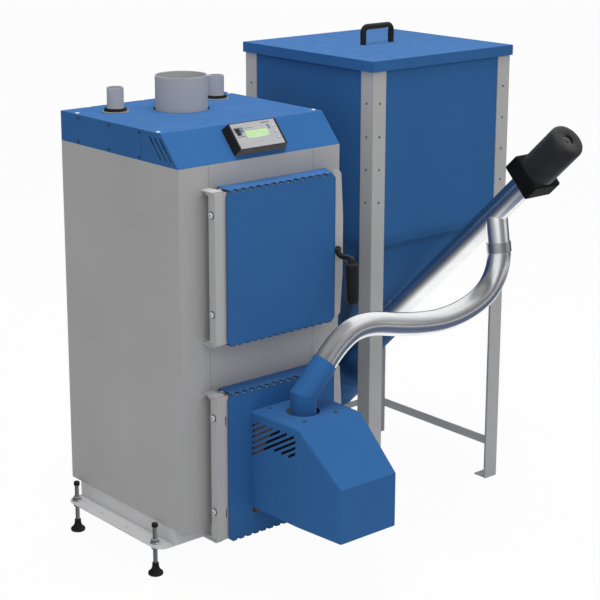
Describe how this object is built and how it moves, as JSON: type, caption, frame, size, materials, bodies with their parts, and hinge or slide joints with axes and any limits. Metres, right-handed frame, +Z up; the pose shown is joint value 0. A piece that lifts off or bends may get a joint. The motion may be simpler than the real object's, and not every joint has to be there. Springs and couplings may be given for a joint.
{
  "type": "pellet boiler",
  "caption": "Wood pellet heating boiler with a burner on its lower door, fed through a hose by an inclined auger from a free-standing square hopper.",
  "frame": {"origin": "on the floor, at the middle of the bounding box's bottom face", "axes": "+Z up, doors and burner face -Y, hopper on the +X side"},
  "size_m": [1.15, 0.9643, 1.288],
  "materials": {
    "casing_grey": "satin",
    "sheet_blue": "satin",
    "frame_grey": "satin",
    "zinc": "zinc plated",
    "vessel_steel": "primed",
    "pipe_steel": "brushed",
    "chrome": "polished",
    "black_plastic": "matte",
    "white_plastic": "semi gloss",
    "motor_black": "matte",
    "rubber_black": "matte",
    "blanket": "fibrous",
    "refractory": "rough",
    "rope": "woven",
    "burner_steel": "heat tinted",
    "face_silver": "satin",
    "screen": "matte",
    "hose_metal": "polished"
  },
  "bodies": {
    "boiler": {"base_frame": "casing_grey", "foot_nuts": "zinc", "casing_left": "casing_grey", "casing_right": "casing_grey", "casing_front": "casing_grey", "casing_back": "casing_grey", "hood": "sheet_blue", "casing_screws": "zinc", "hood_plugs": "white_plastic", "pipe_grommets": "rubber_black", "boiler_vessel": "vessel_steel", "flue_collar": "pipe_steel", "supply_pipe": "pipe_steel", "return_pipe": "pipe_steel", "insulation": "blanket", "flue_baffles": "vessel_steel", "ash_pan": "vessel_steel", "door_hinges": "frame_grey", "door_keepers": "zinc", "controller_box": "black_plastic", "controller_face": "face_silver", "display": "screen", "hopper_bin": "sheet_blue", "hopper_posts": "frame_grey", "hopper_rails": "frame_grey", "hopper_screws": "zinc", "auger_tube": "chrome", "gearbox": "motor_black", "auger_motor": "motor_black", "hose_cuff": "chrome", "feed_hose": "hose_metal"},
    "upper_door": {"upper_door_cover": "sheet_blue", "upper_door_frame": "frame_grey", "upper_door_seal": "rope", "upper_door_lining": "refractory"},
    "lower_door": {"lower_door_cover": "sheet_blue", "lower_door_frame": "frame_grey", "lower_door_seal": "rope", "lower_door_lining": "refractory", "burner_cover": "sheet_blue", "burner_flange": "burner_steel", "burner_tube": "burner_steel", "igniter": "zinc", "fan_housing": "motor_black", "inlet_elbow": "sheet_blue", "burner_screws": "zinc"},
    "upper_handle": {"upper_door_handle": "black_plastic"},
    "lower_handle": {"lower_door_handle": "black_plastic"},
    "lid": {"hopper_lid": "sheet_blue", "lid_handle": "black_plastic"},
    "screw": {"auger_screw": "zinc"},
    "impeller": {"fan_impeller": "zinc"},
    "switch": {"rocker": "black_plastic"},
    "button_1": {"button_1": "white_plastic"},
    "button_2": {"button_2": "white_plastic"},
    "button_3": {"button_3": "white_plastic"},
    "foot_front_left": {"foot_front_left": "black_plastic"},
    "foot_front_right": {"foot_front_right": "black_plastic"},
    "foot_back_left": {"foot_back_left": "black_plastic"},
    "foot_back_right": {"foot_back_right": "black_plastic"}
  },
  "joints": [
    {"name": "upper_door_hinge", "type": "hinge", "parent": "boiler", "child": "upper_door", "pos_m": [-0.458, -0.0543, 0.606], "axis": [0, 0, -1], "range_deg": [0, 105], "deforming": ["feed_hose"]},
    {"name": "lower_door_hinge", "type": "hinge", "parent": "boiler", "child": "lower_door", "pos_m": [-0.458, -0.0543, 0.107], "axis": [0, 0, -1], "range_deg": [0, 105], "deforming": ["feed_hose"]},
    {"name": "upper_handle_turn", "type": "hinge", "parent": "upper_door", "child": "upper_handle", "pos_m": [-0.089, -0.0723, 0.784], "axis": [0, -1, 0], "range_deg": [0, 90]},
    {"name": "lower_handle_turn", "type": "hinge", "parent": "lower_door", "child": "lower_handle", "pos_m": [-0.089, -0.0723, 0.285], "axis": [0, -1, 0], "range_deg": [0, 90]},
    {"name": "lid_lift", "type": "slide", "parent": "boiler", "child": "lid", "axis": [0, 0, 1], "range_m": [0, 0.25]},
    {"name": "screw_turn", "type": "hinge", "parent": "boiler", "child": "screw", "pos_m": [0.3185, 0.4086, 0.2316], "axis": [0, -0.7193, 0.6947], "continuous": true},
    {"name": "impeller_turn", "type": "hinge", "parent": "lower_door", "child": "impeller", "pos_m": [-0.269, -0.2453, 0.3], "axis": [0, 1, 0], "continuous": true},
    {"name": "switch_rock", "type": "hinge", "parent": "boiler", "child": "switch", "pos_m": [-0.341, 0.00427, 1.09652], "axis": [1, 0, 0], "range_deg": [-10, 10]},
    {"name": "button_1_press", "type": "slide", "parent": "boiler", "child": "button_1", "axis": [0, 0.7458, -0.6662], "range_m": [0, 0.001], "stiffness_N_per_m": 400, "springref_m": -0.0005},
    {"name": "button_2_press", "type": "slide", "parent": "boiler", "child": "button_2", "axis": [0, 0.7458, -0.6662], "range_m": [0, 0.001], "stiffness_N_per_m": 400, "springref_m": -0.0005},
    {"name": "button_3_press", "type": "slide", "parent": "boiler", "child": "button_3", "axis": [0, 0.7458, -0.6662], "range_m": [0, 0.001], "stiffness_N_per_m": 400, "springref_m": -0.0005},
    {"name": "foot_front_left_level", "type": "slide", "parent": "boiler", "child": "foot_front_left", "axis": [0, 0, -1], "range_m": [0, 0.02]},
    {"name": "foot_front_right_level", "type": "slide", "parent": "boiler", "child": "foot_front_right", "axis": [0, 0, -1], "range_m": [0, 0.02]},
    {"name": "foot_back_left_level", "type": "slide", "parent": "boiler", "child": "foot_back_left", "axis": [0, 0, -1], "range_m": [0, 0.02]},
    {"name": "foot_back_right_level", "type": "slide", "parent": "boiler", "child": "foot_back_right", "axis": [0, 0, -1], "range_m": [0, 0.02]}
  ]
}
